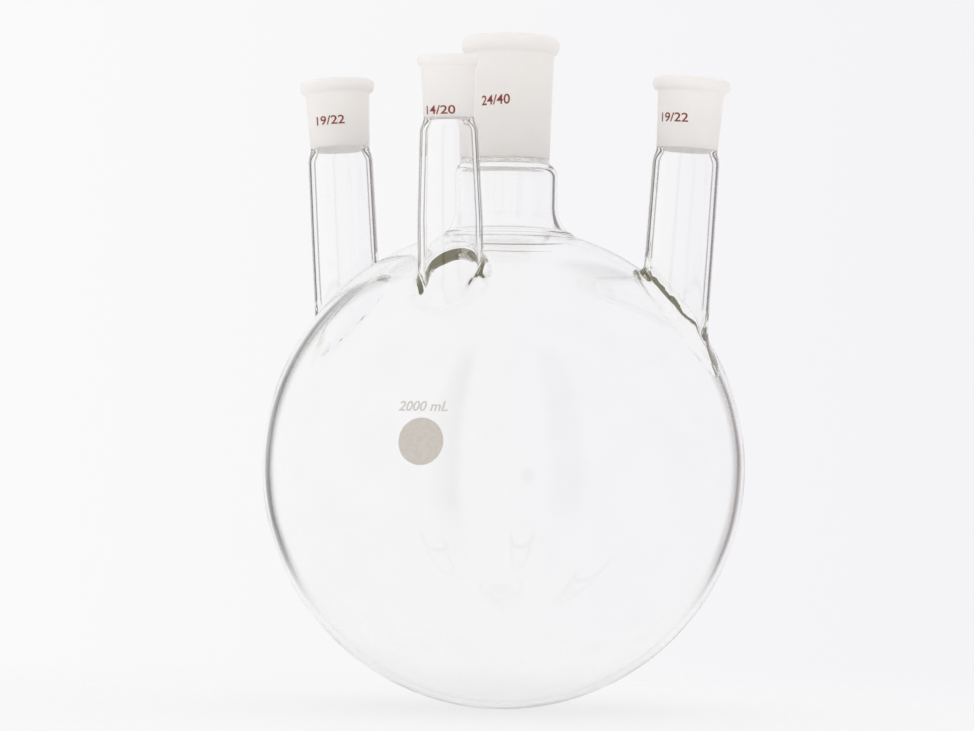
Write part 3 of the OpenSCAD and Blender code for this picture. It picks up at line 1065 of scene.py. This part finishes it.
socket_print("centre_size_print", Matrix.Translation((0, 0, centre_socket_z)), 0, CENTRE_END_D,
             CENTRE_SOCKET_D, CENTRE_LIP_D, CENTRE_LIP_H, centre_ground_l + CENTRE_LEAD,
             CENTRE_PRINT)
for neck in necks:
    socket_print(neck.name + "_size_print", neck.place @ Matrix.Translation((0, 0, neck.socket_w)),
                 neck.turn, 2 * (neck.end_r + SOCKET_WALL), neck.socket_d, neck.lip_d, neck.lip_h,
                 neck.ground_l + neck.lead, NECK_PRINTS[neck.name])
lay("capacity_print", flat_print("2000 mL", *CAPACITY_SIZE, bold=0.02, lean=0.2), grey_ink,
    on_bulb(SPOT_RISE + CAPACITY_RISE, FACING + SPOT_TURN))

# %% [markdown]
# ## Table and studio
# The flask stands on a pale table that runs off into a pale room. Clear glass shows only what is
# round it, so the room decides how it looks. The room has three skies. Seen straight or through the
# glass it is an even pale grey. A ray that was thrown back inside the glass, as happens along every
# rim, or mirrored off its outside, sees the dark flags that a product studio sets up just outside
# the view to draw the edges. Light that falls on matte glass comes mostly from above and from the
# left.

# %% Table
TABLE_R = 0.4
TABLE_FADE = (0.084, 0.36)
TABLE_MATTE = 0.2

table_mesh = bpy.data.meshes.new("table")
build = bmesh.new()
bmesh.ops.create_circle(build, cap_ends=True, segments=STATIONS, radius=TABLE_R)
build.to_mesh(table_mesh)
build.free()
table, recipe = new_recipe("pale_table")
place = recipe.node("ShaderNodeTexCoord", output="Object")
away = recipe.node("ShaderNodeVectorMath", {"operation": "LENGTH"}, {0: place}, output="Value")
lit = recipe.node("ShaderNodeEmission", {}, {"Color": color(248, 248, 249)})
matte = recipe.node("ShaderNodeBsdfDiffuse", {}, {"Color": color(252, 252, 252)})
gone = recipe.node("ShaderNodeBsdfTransparent")
recipe.finish(recipe.layer(away.ramp(*TABLE_FADE), recipe.layer(TABLE_MATTE, lit, matte), gone))
table_mesh.materials.append(table)
floor = bpy.data.objects.new("table", table_mesh)
bpy.context.scene.collection.objects.link(floor)
print("the table fades out from", TABLE_FADE[0], "to", TABLE_FADE[1], "m")

# %% Studio
# Flags are given by the bearings they stand between, in degrees from straight ahead.
LEFT_FLAG = (21, 34)
LEFT_MIRRORED = (22, 26)
RIGHT_FLAG = (22, 38)
FLAG_EDGE = 4
FLAG_TOP = (0.75, 0.9)
MOST_CROSSINGS = 3.5
ONCE = 0.5

world = bpy.data.worlds.new("studio")
bpy.context.scene.world = world
recipe = Recipe(world)
direction = recipe.node("ShaderNodeTexCoord", output="Generated")


def along(vector):
    return recipe.node("ShaderNodeVectorMath", {"operation": "DOT_PRODUCT"},
                       {0: direction, 1: tuple(vector)}, output="Value")


forward = Vector((-math.sin(VIEW_TURN), math.cos(VIEW_TURN), 0))
ahead, right, up = along(forward), along(view_right), along(Vector((0, 0, 1)))
bearing = recipe.node("ShaderNodeMath", {"operation": "ARCTAN2"}, {0: right, 1: ahead.size()})


def flag(side, near, far):
    """A dark board that stands between two bearings, in degrees, on one side of the view."""
    near, far, edge = math.radians(near), math.radians(far), math.radians(FLAG_EDGE)
    return ((bearing * side).ramp(near - edge, near + edge)
            * (1 - (bearing * side).ramp(far - edge, far + edge)))


low_enough = 1 - up.size().ramp(*FLAG_TOP)
pale = recipe.mix(right.ramp(-0.2, 0.2), color(250, 250, 250), color(244, 243, 246))
crossings = recipe.light_path("Transmission")
reflected = recipe.light_path("Glossy") > ONCE
on_matte = recipe.light_path("Diffuse") > ONCE
thrown_back = reflected * (crossings > ONCE) * (1 - (crossings > MOST_CROSSINGS))
mirrored = reflected * (1 - (crossings > ONCE))
left_flag = thrown_back * flag(-1, *LEFT_FLAG) + mirrored * flag(-1, *LEFT_MIRRORED)
right_flag = thrown_back * flag(1, *RIGHT_FLAG)
soft = recipe.mix((up * 0.1 - right * 0.35).ramp(-0.5, 0.6), color(250, 249, 248),
                  (1.1, 1.1, 1.1, 1.0))
seen = recipe.mix(left_flag * low_enough, pale, color(24, 20, 16))
seen = recipe.mix(right_flag * low_enough, seen, color(100, 86, 80))
seen = recipe.mix(on_matte, seen, soft)
recipe.finish(recipe.node("ShaderNodeBackground", {}, {"Color": seen, "Strength": 1.0}),
              "ShaderNodeOutputWorld")

scene = bpy.context.scene
scene.view_settings.view_transform = "Standard"
scene.cycles.max_bounces = 32
scene.cycles.glossy_bounces = 12
scene.cycles.transmission_bounces = 24
scene.cycles.transparent_max_bounces = 64
print("flags stand", LEFT_FLAG, "degrees to the left and", RIGHT_FLAG, "to the right")

# %% [markdown]
# ## Finish

# %% Finish
bpy.context.view_layer.update()
